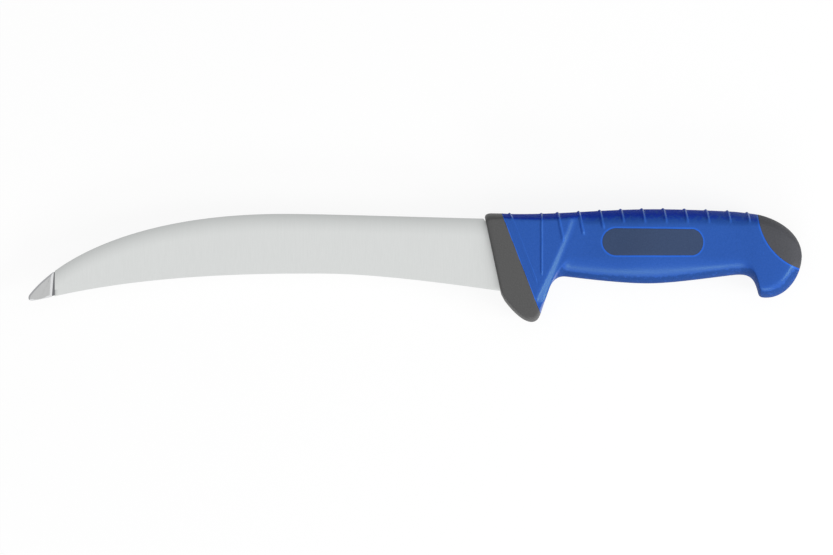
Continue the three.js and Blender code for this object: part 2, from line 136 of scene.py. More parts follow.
def copyOf(piece, name):
    onlyThis(piece)
    bpy.ops.object.duplicate()
    copy = bpy.context.object
    copy.name = name
    copy.data.name = name
    return copy


def combine(piece, tool, operation):
    onlyThis(piece)
    cut = piece.modifiers.new("cut", "BOOLEAN")
    cut.operation = operation
    cut.solver = "EXACT"
    cut.object = tool
    bpy.ops.object.modifier_apply(modifier=cut.name)


def discard(*pieces):
    for piece in pieces:
        bpy.data.objects.remove(piece)


# a filled outline, its corners put in place one by one, then drawn out across the knife
def outlineSolid(name, outline, low, high):
    bpy.ops.object.select_all(action="DESELECT")
    bpy.ops.mesh.primitive_circle_add(
        vertices=len(outline), radius=10 * mm, fill_type="NGON")
    piece = bpy.context.object
    piece.name = name
    piece.data.name = name
    openEdit(piece)
    bpy.ops.mesh.select_all(action="DESELECT")
    net = bmesh.from_edit_mesh(piece.data)
    net.verts.ensure_lookup_table()
    for corner, place in zip(net.verts, outline):
        corner.select = True
        bpy.ops.transform.translate(value=at(place[0], place[1], low) - corner.co)
        corner.select = False
    bpy.ops.mesh.select_all(action="SELECT")
    bpy.ops.mesh.extrude_region_move(TRANSFORM_OT_translate={"value": (0, 0, (high - low) * mm)})
    bpy.ops.mesh.select_all(action="SELECT")
    bpy.ops.mesh.normals_make_consistent(inside=False)
    closeEdit()
    return piece


print("frame ready")

# camera first, straight above the side that shows
view = {
    "looksAt": (-29.46, -13.5),
    "width": 358.2,      # of the picture, at the knife
    "distance": 5.0,
    "sensor": 36.0,
    "clipEnd": 50.0,
}
bpy.ops.object.camera_add(location=at(*view["looksAt"]) + Vector((0, 0, view["distance"])))
camera = bpy.context.object
camera.data.sensor_width = view["sensor"]
camera.data.lens = view["sensor"] * view["distance"] / (view["width"] * mm)
camera.data.clip_end = view["clipEnd"]
bpy.context.scene.camera = camera

# handle: one loft from front to butt, cut into its pieces afterwards
handle = {
    "ringPoints": 46,
    "rings": (5, 9, 13, 8, 13, 15, 10, 15),
    "crispRings": ((0, 0.05), (0, 0.94), (1, 0.03)),    # they keep the guard's front corner
    "frontInset": 0.2,
    "backLine": (
        ((-0.05, 12.2), (-0.35, 14.05), (2.6, 14.13)),
        ((2.6, 14.13), (7.7, 14.05)),
        ((7.7, 14.05), (14.0, 13.5), (27.0, 13.95), (39.0, 14.6)),
        ((39.0, 14.6), (45.0, 14.95)),
        ((45.0, 14.95), (54.0, 15.45), (62.0, 15.88), (73.0, 15.9)),
        ((73.0, 15.9), (84.0, 15.9), (97.5, 15.35), (107.5, 14.8)),
        ((107.5, 14.8), (110.5, 14.45), (115.0, 14.0), (118.0, 13.45)),
        ((118.0, 13.45), (127.2, 11.25), (136.2, 5.0), (136.2, -4.3)),
    ),
    "bellyLine": (
        ((7.0, -20.9), (8.45, -23.6)),
        ((8.45, -23.6), (15.3, -32.85), (22.2, -36.0), (24.0, -28.8)),
        ((24.0, -28.8), (25.5, -24.2)),
        ((25.5, -24.2), (27.9, -15.9), (29.8, -13.1), (34.0, -13.05)),
        ((34.0, -13.05), (42.0, -14.0), (59.0, -16.15), (70.0, -16.1)),
        ((70.0, -16.1), (80.5, -16.15), (98.5, -13.4), (107.5, -12.4)),
        ((107.5, -12.4), (114.3, -11.8), (116.1, -13.8), (117.8, -21.9)),
        ((117.8, -21.9), (128.2, -24.4), (136.2, -13.9), (136.2, -4.3)),
    ),
    # at the ends of those lines, front to butt
    "half": (8.9, 8.9, 8.9, 8.35, 8.35, 11.0, 10.0, 10.3, 10.3),
    "backRound": (3.2, 3.2, 3.2, 3.8, 7.2, 7.4, 7.0, 5.2, 2.6),
    "bellyRound": (3.2, 3.2, 2.2, 2.8, 10.0, 14.0, 7.5, 5.5, 13.0),
    "roundShare": 0.45,        # of the height, the most that a rounding takes
    "frontRound": 1.4,
    "lastRing": 0.988,
    "buttRound": 2.8,          # the lower, the sooner the butt rounds off
    "flankCuts": 5,
    "smoothLevels": 2,
    # the wedge in front of the crease is thicker than the neck behind it
    "neckHalf": 8.35,
    "wedgeExtra": 2.1,
    "neckFade": 24.0,
    # front border, rear border and depth of the crease, from its top to its foot
    "creaseSpan": (16.0, -24.0),
    "crease": ((37.2, 40.2, 1.45), (34.0, 36.6, 0.35), (26.8, 32.9, 2.0), (20.8, 26.4, 2.0)),
    "creaseLeast": 4.3,
    "creaseOverSeam": 0.9,     # at the foot it starts on the bolster
    "creaseSharp": 1.35,       # it falls off faster at its front border
}


def between(values, span, t):
    return values[span] + (values[span + 1] - values[span]) * ease(t)


def ringPlaces():
    places = list(handle["crispRings"])
    last = len(handle["rings"]) - 1
    for span, count in enumerate(handle["rings"]):
        for i in range(count):
            t = i / count if span < last else handle["lastRing"] * i / (count - 1)
            places.append((span, t))
    return sorted(places)


def shapeRing(piece, span, t):
    top = onCurve(handle["backLine"][span], t)
    foot = onCurve(handle["bellyLine"][span], t)
    length = (top - foot).length
    up = ((top - foot) / length).to_3d()
    half = between(handle["half"], span, t)
    if span == 0:
        half -= handle["frontRound"] * (1 - math.sqrt(1 - (1 - t) ** 2))
    if span == len(handle["rings"]) - 1:
        half *= math.sqrt(1 - t ** handle["buttRound"])
    mid = at(*((top + foot) / 2))
    across = Vector((0, 0, 1))
    turn = Matrix((across, up, across.cross(up))).transposed()
    bpy.ops.mesh.select_all(action="DESELECT")
    bpy.ops.mesh.primitive_circle_add(
        vertices=handle["ringPoints"], radius=mm, location=mid, rotation=turn.to_euler())
    net = bmesh.from_edit_mesh(piece.data)
    net.verts.ensure_lookup_table()
    ring = net.verts[-handle["ringPoints"]:]
    upper = [(v.co - mid).dot(up) > 0 for v in ring]
    for side, rounds in ((True, "backRound"), (False, "bellyRound")):
        height = min(between(handle[rounds], span, t), handle["roundShare"] * length)
        for v, above in zip(ring, upper):
            v.select = above == side
        net.select_flush_mode()
        bpy.ops.transform.resize(
            value=(half, height, 1), orient_type="GLOBAL", orient_matrix=turn,
            orient_matrix_type="GLOBAL", center_override=mid)
        bpy.ops.transform.translate(value=up * (length / 2 - height) * mm * (1 if side else -1))


def handleForm():
    bpy.ops.object.select_all(action="DESELECT")
    bpy.ops.mesh.primitive_circle_add(vertices=handle["ringPoints"], radius=mm)
    form = bpy.context.object
    form.name = "handleForm"
    openEdit(form)
    bpy.ops.mesh.select_all(action="SELECT")
    bpy.ops.mesh.delete(type="VERT")
    places = ringPlaces()
    for span, t in places:
        shapeRing(form, span, t)
    bpy.ops.mesh.select_all(action="SELECT")
    bpy.ops.mesh.bridge_edge_loops(type="SINGLE")
    # close both ends, and give the flat flanks some rows
    count = handle["ringPoints"]
    for start in (0, len(places) - 1):
        bpy.ops.mesh.select_all(action="DESELECT")
        net = bmesh.from_edit_mesh(form.data)
        net.verts.ensure_lookup_table()
        for v in net.verts[start * count:(start + 1) * count]:
            v.select = True
        net.select_flush_mode()
        bpy.ops.mesh.edge_face_add()
        bpy.ops.mesh.inset(thickness=handle["frontInset"] * mm)
    bpy.ops.mesh.select_mode(type="EDGE")
    bpy.ops.mesh.select_all(action="DESELECT")
    net = bmesh.from_edit_mesh(form.data)
    net.verts.ensure_lookup_table()
    quarter = count // 4
    for start in range(0, len(places) * count, count):
        for low in (quarter, count - quarter - 1):
            edge = net.edges.get((net.verts[start + low], net.verts[start + low + 1]))
            edge.select_set(True)
    bpy.ops.mesh.subdivide(number_cuts=handle["flankCuts"])
    bpy.ops.mesh.select_mode(type="VERT")
    bpy.ops.mesh.select_all(action="SELECT")
    bpy.ops.mesh.normals_make_consistent(inside=False)
    closeEdit()
    smooth = form.modifiers.new("smooth", "SUBSURF")
    smooth.levels = smooth.render_levels = handle["smoothLevels"]
    bpy.ops.object.modifier_apply(modifier=smooth.name)
    return form


def seamAt(y):
    top, foot = drawing["seamTop"], drawing["seamFoot"]
    return top[0] + (top[1] - y) * (foot[0] - top[0]) / (top[1] - foot[1])


def wedgeRise(p):
    top, foot = handle["creaseSpan"]
    down = max(0.0, min(1.0, (top - p.y) / (top - foot)))
    front, rear, depth = onCurve(handle["crease"], down)
    front = max(front, seamAt(p.y) - handle["creaseOverSeam"])
    rear = max(rear, front + handle["creaseLeast"])
    share = max(0.0, min(1.0, (p.x - front) / (rear - front)))
    past = ease(1 - (1 - share) ** handle["creaseSharp"])
    kept = (handle["wedgeExtra"] - depth) * (1 - ease((p.x - rear) / handle["neckFade"]))
    outFromMiddle = min(1.0, abs(p.z) / handle["neckHalf"])
    return (handle["wedgeExtra"] * (1 - past) + kept * past) * outFromMiddle


def widenFront(form):
    for side in (1, -1):
        group = form.vertex_groups.new(name="wedge")
        for v in form.data.vertices:
            p = drawn(v.co)
            rise = wedgeRise(p) / handle["wedgeExtra"]
            if p.z * side > 0 and rise > 0:
                group.add([v.index], rise, "REPLACE")
        onlyThis(form)
        push = form.modifiers.new("push", "DISPLACE")
        push.direction = "Z"
        push.mid_level = 0.0
        push.strength = side * handle["wedgeExtra"] * mm
        push.vertex_group = group.name
        bpy.ops.object.modifier_apply(modifier=push.name)
        form.vertex_groups.clear()


form = handleForm()
widenFront(form)
print("handle form", len(form.data.polygons), "faces")

# cutters for the seams
cap = {
    "centre": (143.25, 15.1),     # of the arc that is the seam
    "radius": 26.07,
    "from": 150.0,                # degrees round that arc
    "to": 300.0,
    "steps": 60,
}
inlay = {
    "start": 50.3,
    "length": 43.3,
    "height": 11.74,
    "centre": 1.88,
    "endDepths": (6.0, 4.9),
    "taper": 0.5,        # the rear end is a little lower
    "floor": 6.5,        # its inner face, from the middle
    "pocketRoom": 0.1,
    "steps": 20,
}


def capOutline(grow):
    centre = Vector(cap["centre"])
    outline = []
    for i in range(cap["steps"] + 1):
        angle = math.radians(cap["from"] + (cap["to"] - cap["from"]) * i / cap["steps"])
        out = Vector((math.cos(angle), math.sin(angle)))
        outline.append(centre + out * (cap["radius"] + grow))
    return outline


def inlayMiddle(x):
    share = (x - inlay["start"]) / inlay["length"]
    half = (inlay["height"] - inlay["taper"] * share) / 2
    return inlay["centre"] - inlay["taper"] / 2 * share, half


def inlayOutline(grow):
    outline = []
    for end, depth in zip((0, 1), inlay["endDepths"]):
        centre = inlay["start"] + (inlay["length"] - depth if end else depth)
        for i in range(inlay["steps"] + 1):
            angle = math.pi * (0.5 + end + i / inlay["steps"])
            x = centre + (depth + grow) * math.cos(angle)
            y, half = inlayMiddle(x)
            outline.append((x, y + (half + grow) * math.sin(angle)))
    return outline


def frontPart(piece, shift, keepFront):
    top, foot = Vector(drawing["seamTop"]), Vector(drawing["seamFoot"])
    run = (foot - top).normalized()
    toButt = Vector((-run.y, run.x, 0))
    openEdit(piece)
    bpy.ops.mesh.select_all(action="SELECT")
    bpy.ops.mesh.bisect(
        plane_co=at(*top) + toButt * shift * mm, plane_no=toButt, use_fill=True,
        clear_outer=keepFront, clear_inner=not keepFront)
    closeEdit()


edges = {
    "hard": 0.12,            # width on the hard mouldings
    "grip": 0.1,
    "segments": 2,
    "bevelAbove": 50.0,      # degrees
    "smoothBelow": 38.0,
}


def smoothFaces(piece, degrees):
    onlyThis(piece)
    bpy.ops.object.shade_smooth_by_angle(angle=math.radians(degrees))


def softEdges(piece, width):
    onlyThis(piece)
    rim = piece.modifiers.new("rim", "BEVEL")
    rim.width = width * mm
    rim.segments = edges["segments"]
    rim.limit_method = "ANGLE"
    rim.angle_limit = math.radians(edges["bevelAbove"])
    bpy.ops.object.modifier_apply(modifier=rim.name)
    smoothFaces(piece, edges["smoothBelow"])


gap, reach = drawing["pieceGap"], drawing["cutReach"]

bolster = copyOf(form, "bolsterMoulding")
frontPart(bolster, -gap, True)
softEdges(bolster, edges["hard"])

capTool = outlineSolid("capTool", capOutline(-gap), -reach, reach)
buttCap = copyOf(form, "buttCapMoulding")
combine(buttCap, capTool, "INTERSECT")
softEdges(buttCap, edges["hard"])

inlayTool = outlineSolid("inlayTool", inlayOutline(-gap), inlay["floor"], reach)
inlays = []
for side, name in ((1, "leftInlayPlate"), (-1, "rightInlayPlate")):
    plate = copyOf(form, name)
    if side < 0:
        openEdit(inlayTool)
        bpy.ops.mesh.select_all(action="SELECT")
        bpy.ops.transform.resize(value=(1, 1, -1), center_override=zero)
        bpy.ops.mesh.normals_make_consistent(inside=False)
        closeEdit()
    combine(plate, inlayTool, "INTERSECT")
    softEdges(plate, edges["hard"])
    inlays.append(plate)

grip = copyOf(form, "gripMoulding")
frontPart(grip, gap, False)
capPocket = outlineSolid("capPocket", capOutline(gap), -reach, reach)
combine(grip, capPocket, "DIFFERENCE")
pocketFloor = inlay["floor"] - inlay["pocketRoom"]
for low, high in ((pocketFloor, reach), (-reach, -pocketFloor)):
    pocket = outlineSolid("pocket", inlayOutline(gap), low, high)
    combine(grip, pocket, "DIFFERENCE")
    discard(pocket)
discard(capTool, inlayTool, capPocket, form)
print("handle pieces", [len(p.data.polygons) for p in (bolster, grip, buttCap, *inlays)])

# ribs over the grip's back
ribs = {
    "halfWidth": 0.95,
    "height": 0.54,
    # the two on the wedge are finer: one beside the seam, one upright
    "wedgeHeights": (0.46, 0.42),
    "wedgeWidths": (0.8, 0.72),
    "start": 30.5,
    "pitch": 9.15,
    "count": 10,
    "lastBack": 0.85,        # the last one stands closer to its neighbour
    "top": 17.0,
    "lean": 0.2126,          # the foot leans to the butt
    "feet": (2.6, 5.2, 7.8, 10.4),
    "seamOffset": 3.4,
    "seamFoot": -14.8,
    "wedgeAt": 24.2,
    "wedgeFoot": -12.0,
    "footFade": 1.2,
    "flankLimit": 11.0,      # no rib stands out past the flanks
    "splitPast": 0.5,        # faces are split finer this far beside and below a rib
    "splitBelow": 2.5,
}


def ribLines():
    seamRib, wedgeRib = zip(ribs["wedgeHeights"], ribs["wedgeWidths"])
    lines = [
        ((seamAt(ribs["top"]) + ribs["seamOffset"], ribs["top"]),
         (seamAt(ribs["seamFoot"]) + ribs["seamOffset"], ribs["seamFoot"]), *seamRib),
        ((ribs["wedgeAt"], ribs["top"]), (ribs["wedgeAt"], ribs["wedgeFoot"]), *wedgeRib),
    ]
    for i in range(ribs["count"]):
        foot = ribs["feet"][min(i, len(ribs["feet"]) - 1)]
        back = ribs["lastBack"] if i == ribs["count"] - 1 else 0
        x = ribs["start"] + i * ribs["pitch"] - back
        ends = (x, ribs["top"]), (x + (ribs["top"] - foot) * ribs["lean"], foot)
        lines.append((*ends, ribs["height"], ribs["halfWidth"]))
    return [(Vector(a), Vector(b), height, half) for a, b, height, half in lines]


def ribRise(p, lines):
    rise = 0.0
    flat = p.to_2d()
    for top, foot, height, half in lines:
        run = foot - top
        length = run.length
        run = run / length
        along = (flat - top).dot(run)
        off = abs((flat - top).cross(run))
        if off < half and along < length + ribs["footFade"]:
            crest = math.cos(math.pi / 2 * off / half) ** 2
            fade = ease((length + ribs["footFade"] - along) / (2 * ribs["footFade"]))
            rise = max(rise, height * crest * fade)
    return rise


def nearRib(p, lines):
    width = ribs["halfWidth"] + ribs["splitPast"]
    for top, foot, *_ in lines:
        off = abs((p.to_2d() - top).cross((foot - top).normalized()))
        if off < width and p.y > foot.y - ribs["splitBelow"]:
            return True
    return False


def addRibs(piece, lines):
    openEdit(piece)
    pick(piece, lambda p: nearRib(p, lines))
    bpy.ops.mesh.subdivide(number_cuts=1)
    closeEdit()
    group = piece.vertex_groups.new(name="ribRise")
    for v in piece.data.vertices:
        p = drawn(v.co)
        rise = min(ribRise(p, lines), max(0.0, ribs["flankLimit"] - abs(p.z)))
        if rise > 0:
            group.add([v.index], rise, "REPLACE")
    onlyThis(piece)
    push = piece.modifiers.new("push", "DISPLACE")
    push.direction = "NORMAL"
    push.mid_level = 0.0
    push.strength = mm
    push.vertex_group = group.name
    bpy.ops.object.modifier_apply(modifier=push.name)


# painted shade on the back and underside, where the surface turns away from the flanks, and a
# painted highlight on the ribs' rear sides
shadeZones = {
    # steepness, as the normal's part across the knife, and how far round the zone goes
    # painted shade: the back is darker where it turns away from the light
    "back": {
        "side": 1, "from": 0.995, "full": 0.58,
        "round": (0.5, 0.5), "strength": (1.0, 0.7)},
    # painted shade: the underside is darker where it turns away from the light
    "underShade": {
        "side": -1, "from": 0.79, "full": 0.63,
        "round": (0.5, -0.35), "strength": (1.0, 0.9)},
}
# painted light: the cap's back is made paler where it turns away from the light
capLightZones = {
    "back": {
        "side": 1, "from": 0.999, "full": 0.93,
        "round": (0.5, 0.5), "strength": (1.0, 1.0)},
}
marking = {
    "turn": (80.0, 115.0),    # from the grip's middle to its hook
    "facingOver": 0.35,
    "ribLeast": 0.02,         # what is lower isn't rib any more
    # painted highlight on the rib sides that lean to the butt
    "ribHighlightFrom": 0.05,       # lean to the butt, as the normal's part along the knife
    "ribHighlightOver": 0.25,
}


def markPaintedLight(piece, marks, lines=()):
    shares = {name: [] for name in (*marks, "ribHighlight")}
    for v in piece.data.vertices:
        normal, p = v.normal, drawn(v.co)
        start, end = marking["turn"]
        toHook = ease((p.x - start) / (end - start))
        onRib = ribRise(p, lines) > marking["ribLeast"]
        # painted highlight: rib sides facing the butt get a paler blue
        lean = ease((normal.x - marking["ribHighlightFrom"]) / marking["ribHighlightOver"])
        ribHighlight = lean if onRib else 0.0
        shares["ribHighlight"].append(ribHighlight)
        flat = max(1e-6, math.hypot(normal.x, normal.y))
        for name, zone in marks.items():
            turned = ease((zone["from"] - abs(normal.z)) / (zone["from"] - zone["full"]))
            ends = (zone["round"], zone["strength"])
            edge, strength = (a + (b - a) * toHook for a, b in ends)
            facing = ease((zone["side"] * normal.y / flat - edge) / marking["facingOver"])
            facing = 1.0 if onRib and name == "back" else facing
            shares[name].append(strength * turned * facing * (1 - ribHighlight))
    for name in shares:
        piece.data.attributes.new(name, "FLOAT", "POINT")
    for name in shares:
        piece.data.attributes[name].data.foreach_set("value", shares[name])


# core: the plain bar that the other handle pieces hide
core = {
    "half": 5.5,
    "edge": 1.2,
    "outline": (
        (3.5, 10.5), (20.0, 10.0), (39.0, 10.8), (60.0, 11.8), (80.0, 11.8), (100.0, 10.8),
        (115.0, 9.2), (125.0, 5.5), (131.0, -1.5), (130.0, -8.0), (124.0, -17.0), (120.5, -16.5),
        (118.0, -10.5), (108.0, -8.5), (90.0, -10.0), (70.0, -11.8), (50.0, -11.0), (36.0, -9.3),
        (29.0, -10.5), (24.5, -17.0), (21.5, -27.0), (17.0, -27.5), (11.5, -22.0), (8.0, -15.0),
    ),
}
corePiece = outlineSolid("coreMoulding", core["outline"], -core["half"], core["half"])
softEdges(corePiece, core["edge"])

gripRibs = ribLines()
addRibs(grip, gripRibs)
softEdges(grip, edges["grip"])
markPaintedLight(grip, shadeZones, gripRibs)
markPaintedLight(buttCap, capLightZones)
print("grip with ribs", len(grip.data.polygons), "faces")

# blade: a grid fitted between spine and edge, then given its ground thickness
blade = {
    "spineLine": (
        ((12.0, 11.6), (0.0, 11.8)),
        ((0.0, 11.8), (-43.0, 12.85), (-68.8, 13.8), (-86.0, 13.85)),
        ((-86.0, 13.85), (-152.0, 14.0), (-185.2, -7.0), (-195.9, -20.95)),
    ),
    "edgeLine": (
        ((12.0, -20.0), (6.63, -19.3)),
        ((6.63, -19.3), (-49.7, -11.25), (-64.0, -11.8), (-80.0, -11.82)),
        ((-80.0, -11.82), (-157.5, -11.95), (-187.0, -22.9), (-195.0, -23.5)),
    ),
    "front": -185.0,
    "rear": 9.0,
    "columns": 100,
    "rows": 30,
    "stock": 2.5,
    "spineThickness": 1.95,
    "softEdge": 0.18,
    "crown": 6.5,          # the faces round off this far below the spine
    "crownShare": 0.3,     # and no more than this share of the height
    "faceRound": 1.5,
    "bevelHeight": 1.0,
    "bevelThickness": 0.45,
    "edgeThickness": 0.06,
    "pointShare": 0.68,    # of the stock, at the point
    "thinsFrom": -60.0,
    "thinsOver": 130.0,
    "tongue": (-188.5, -184.94),
    "tongueInset": 0.35,
    "tongueThickness": 0.9,
    "tongueSteps": 8,
    "tongueShadeFrom": 0.02,    # painted shade from this far in front of the faces
    "spineNotch": ((-1.3, 12.6), (1.7, 12.6), (1.7, 8.7)),
    "notchReach": 5.0,
    "pathSteps": 60,
}
spinePath = tracePath(blade["spineLine"], blade["pathSteps"])
edgePath = tracePath(blade["edgeLine"], blade["pathSteps"])


def bladeThickness(x, fromSpine, fromEdge):
    height = fromSpine + fromEdge
    crown = min(blade["crown"], blade["crownShare"] * height)
    toPoint = ease((blade["thinsFrom"] - x) / blade["thinsOver"])
    stock = blade["stock"] * (1 - (1 - blade["pointShare"]) * toPoint)
    if fromEdge < blade["bevelHeight"]:
        share = fromEdge / blade["bevelHeight"]
        bevel = blade["bevelThickness"] - blade["edgeThickness"]
        return blade["edgeThickness"] + bevel * share
    faceHeight = height - crown - blade["bevelHeight"]
    face = min(1.0, (fromEdge - blade["bevelHeight"]) / faceHeight)
    gained = 1 - (1 - face) ** blade["faceRound"]
    thick = blade["bevelThickness"] + (stock - blade["bevelThickness"]) * gained
    if fromSpine < crown:
        lost = (blade["stock"] - blade["spineThickness"]) * (1 - fromSpine / crown) ** 2
        thick -= lost * stock / blade["stock"]
    return thick


def tongueOutline():
    low, high = blade["tongue"]
    inset, steps = blade["tongueInset"], blade["tongueSteps"]
    places = [low + (high - low) * i / steps for i in range(steps + 1)]
    upper = [(x, heightOn(spinePath, x) - inset) for x in places]
    return upper + [(x, heightOn(edgePath, x) + inset) for x in places[::-1]]


def makeBlade():
    columns, rows = blade["columns"], blade["rows"]
    bpy.ops.object.select_all(action="DESELECT")
    bpy.ops.mesh.primitive_grid_add(x_subdivisions=columns, y_subdivisions=rows, size=1)
    piece = bpy.context.object
    piece.name = "bladeGround"
    piece.data.name = "bladeGround"
    openEdit(piece)
    bpy.ops.mesh.select_all(action="DESELECT")
    net = bmesh.from_edit_mesh(piece.data)
    order = sorted(net.verts, key=lambda v: (round(v.co.x, 5), v.co.y))
    tall = rows + 1
    for c in range(columns + 1):
        x = blade["front"] + (blade["rear"] - blade["front"]) * c / columns
        low, high = heightOn(edgePath, x), heightOn(spinePath, x)
        column = order[c * tall:(c + 1) * tall]
        for v in column:
            v.select = True
        foot = column[0].co.copy()
        bpy.ops.transform.resize(value=(1, (high - low) * mm, 1), center_override=foot)
        bpy.ops.transform.translate(value=at(x, low) - foot)
        for v in column:
            v.select = False
    closeEdit()
    group = piece.vertex_groups.new(name="thickness")
    depths = []
    for v in piece.data.vertices:
        p = drawn(v.co)
        fromSpine = max(0.0, heightOn(spinePath, p.x) - p.y)
        fromEdge = max(0.0, p.y - heightOn(edgePath, p.x))
        share = bladeThickness(p.x, fromSpine, fromEdge) / blade["stock"]
        group.add([v.index], share, "REPLACE")
        depths.append(fromSpine)
    spineMark = piece.data.attributes.new("fromSpine", "FLOAT", "POINT")
    spineMark.data.foreach_set("value", depths)
    onlyThis(piece)
    wall = piece.modifiers.new("wall", "SOLIDIFY")
    wall.thickness = blade["stock"] * mm
    wall.offset = 0
    wall.vertex_group = group.name
    bpy.ops.object.modifier_apply(modifier=wall.name)
    softEdges(piece, blade["softEdge"])
    half = blade["tongueThickness"] / 2
    tongue = outlineSolid("tongue", tongueOutline(), -half, half)
    combine(piece, tongue, "UNION")
    half = blade["notchReach"]
    notch = outlineSolid("notch", blade["spineNotch"], -half, half)
    combine(piece, notch, "DIFFERENCE")
    discard(tongue, notch)
    smoothFaces(piece, edges["smoothBelow"])
    return piece


bladePiece = makeBlade()
print("blade", len(bladePiece.data.polygons), "faces")

# tip guard: a raised pad with rounded rims
tip = {
    "rearTop": -185.4,
    "rearFoot": -186.2,
    "noseLine": ((-195.9, -20.95), (-196.5, -21.9), (-196.6, -23.45), (-195.0, -23.5)),
    "rimHalf": 0.8,          # half the thickness at the outline
    "rise": 0.46,            # from there to the shoulder, all round
    "shoulder": (0.12, 0.05),
    "rim": 0.62,
    "rearRim": (0.95, 0.91),     # the rim is wider along the joint, top and foot
    "footRim": 0.87,             # and beside its foot
    "footReach": 4.5,
    "edgeRim": 0.06,         # and next to nothing along the rest of the foot
    "noseReach": 2.5,
    "rearSteps": 6,
    "cornerFree": 1.7,       # no other points this close to the rear corners
    "noseFree": 0.2,         # nor to the nose's ends
    "noseSteps": 14,
    "traceSteps": 480,
    "keepEach": 4,           # of the traced points
    # what a side of the outline or a face is, by its direction
    "rearSteep": 0.2,
    "rearNear": 0.2,
    "footRun": 0.5,
    "cornerTurn": 0.4,
    "flankFacing": 0.9,
    "rimFacing": 0.95,
    "jointFacing": 0.3,
    "footFacing": -0.7,
    "smoothBelow": 12.0,     # degrees
}


def tipOutline():
    start = Vector((tip["rearTop"], heightOn(spinePath, tip["rearTop"])))
    end = Vector((tip["rearFoot"], heightOn(edgePath, tip["rearFoot"])))
    steps, each = tip["noseSteps"], tip["keepEach"]
    nose = [onCurve(tip["noseLine"], i / steps) for i in range(steps + 1)]
    upper = tracePath(blade["spineLine"][2:], tip["traceSteps"])[::each]
    lower = tracePath(blade["edgeLine"][2:], tip["traceSteps"])[::-each]

    def free(p, noseEnd, corner):
        onSide = noseEnd.x + tip["noseFree"] < p.x < corner.x
        return onSide and (p - corner).length > tip["cornerFree"]

    upper = [p for p in upper if free(p, nose[0], start)]
    lower = [p for p in lower if free(p, nose[-1], end)]
    rear = [end.lerp(start, i / tip["rearSteps"]) for i in range(tip["rearSteps"])]
    return [start] + upper + nose + lower + rear


# inner line of the rim: each side of the outline moved in by its own width
def rimLine(outline):
    start, end, nose = outline[0], outline[-tip["rearSteps"]], Vector(tip["noseLine"][-1])
    sides = []
    for a, b in zip(outline, outline[1:] + outline[:1]):
        run = (b - a).normalized()
        middle = (a + b) / 2
        width = tip["rim"]
        if abs(run.x) < tip["rearSteep"] and middle.x > end.x - tip["rearNear"]:
            top, foot = tip["rearRim"]
            width = top + (foot - top) * (start.y - middle.y) / (start.y - end.y)
        elif run.x > tip["footRun"]:
            atNose = ease(1 - (middle - nose).length / tip["noseReach"])
            atFoot = ease(1 - (middle - end).length / tip["footReach"])
            width = tip["edgeRim"]
            width += (tip["rim"] - width) * atNose + (tip["footRim"] - width) * atFoot
        sides.append((run, width))
    inner = []
    for i, p in enumerate(outline):
        (runA, a), (runB, b) = sides[i - 1], sides[i]
        inA, inB = Vector((-runA.y, runA.x)), Vector((-runB.y, runB.x))
        turn = runA.cross(runB)
        if abs(turn) < tip["cornerTurn"]:
            inner.append(p + (inA + inB).normalized() * (a + b) / 2)
        else:
            inner.append(p + inA * a + runA * (b - a * inA.dot(inB)) / runA.dot(inB))
    return inner


def raiseFace(piece, side, outline, inner):
    bpy.ops.mesh.select_mode(type="FACE")
    bpy.ops.mesh.select_all(action="DESELECT")
    net = bmesh.from_edit_mesh(piece.data)
    for face in net.faces:
        face.select = face.normal.z * side > tip["flankFacing"]
    bpy.ops.mesh.extrude_region_move(
        TRANSFORM_OT_translate={"value": (0, 0, side * tip["rise"] * mm)})
    bpy.ops.mesh.select_mode(type="VERT")
    net = bmesh.from_edit_mesh(piece.data)
    loop = [v for v in net.verts if v.select]
    bpy.ops.mesh.select_all(action="DESELECT")
    for v in loop:
        p = drawn(v.co).to_2d()
        nearest = min(range(len(outline)), key=lambda i: (outline[i] - p).length)
        v.select = True
        bpy.ops.transform.translate(value=((inner[nearest] - p) * mm).to_3d())
        v.select = False
    for v in loop:
        v.select = True
    net.select_flush_mode()
    bpy.ops.mesh.select_mode(type="FACE")
    width, height = tip["shoulder"]
    bpy.ops.mesh.inset(thickness=width * mm, depth=height * mm)


def makeTip():
    outline = tipOutline()
    inner = rimLine(outline)
    piece = outlineSolid("tipGuardPad", outline, -tip["rimHalf"], tip["rimHalf"])
    openEdit(piece)
    for side in (1, -1):
        raiseFace(piece, side, outline, inner)
    bpy.ops.mesh.select_all(action="SELECT")
    bpy.ops.mesh.normals_make_consistent(inside=False)
    closeEdit()
    smoothFaces(piece, tip["smoothBelow"])
    return piece


tipPiece = makeTip()
print("tip guard", len(tipPiece.data.polygons), "faces")

# finishes
def newGroup(name, inputs, outputs):
    group = bpy.data.node_groups.new(name, "ShaderNodeTree")
    for label, value in inputs:
        socket = group.interface.new_socket(label, in_out="INPUT", socket_type="NodeSocketFloat")
        socket.default_value = value
    for label in outputs:
        group.interface.new_socket(label, in_out="OUTPUT", socket_type="NodeSocketFloat")
    return group, group.nodes.new("NodeGroupInput"), group.nodes.new("NodeGroupOutput")


def addNode(tree, kind, **settings):
    node = tree.nodes.new(kind)
    for key, value in settings.items():
        setattr(node, key, value)
    return node


def noiseNode(tree, detail, roughness=0.5):
    node = addNode(tree, "ShaderNodeTexNoise")
    node.inputs["Detail"].default_value = detail
    node.inputs["Roughness"].default_value = roughness
    return node


def calc(tree, operation, a, b=0.0):
    node = addNode(tree, "ShaderNodeMath", operation=operation)
    for socket, value in zip(node.inputs, (a, b)):
        if isinstance(value, (int, float)):
            socket.default_value = value
        else:
            tree.links.new(value, socket)
    return node.outputs[0]


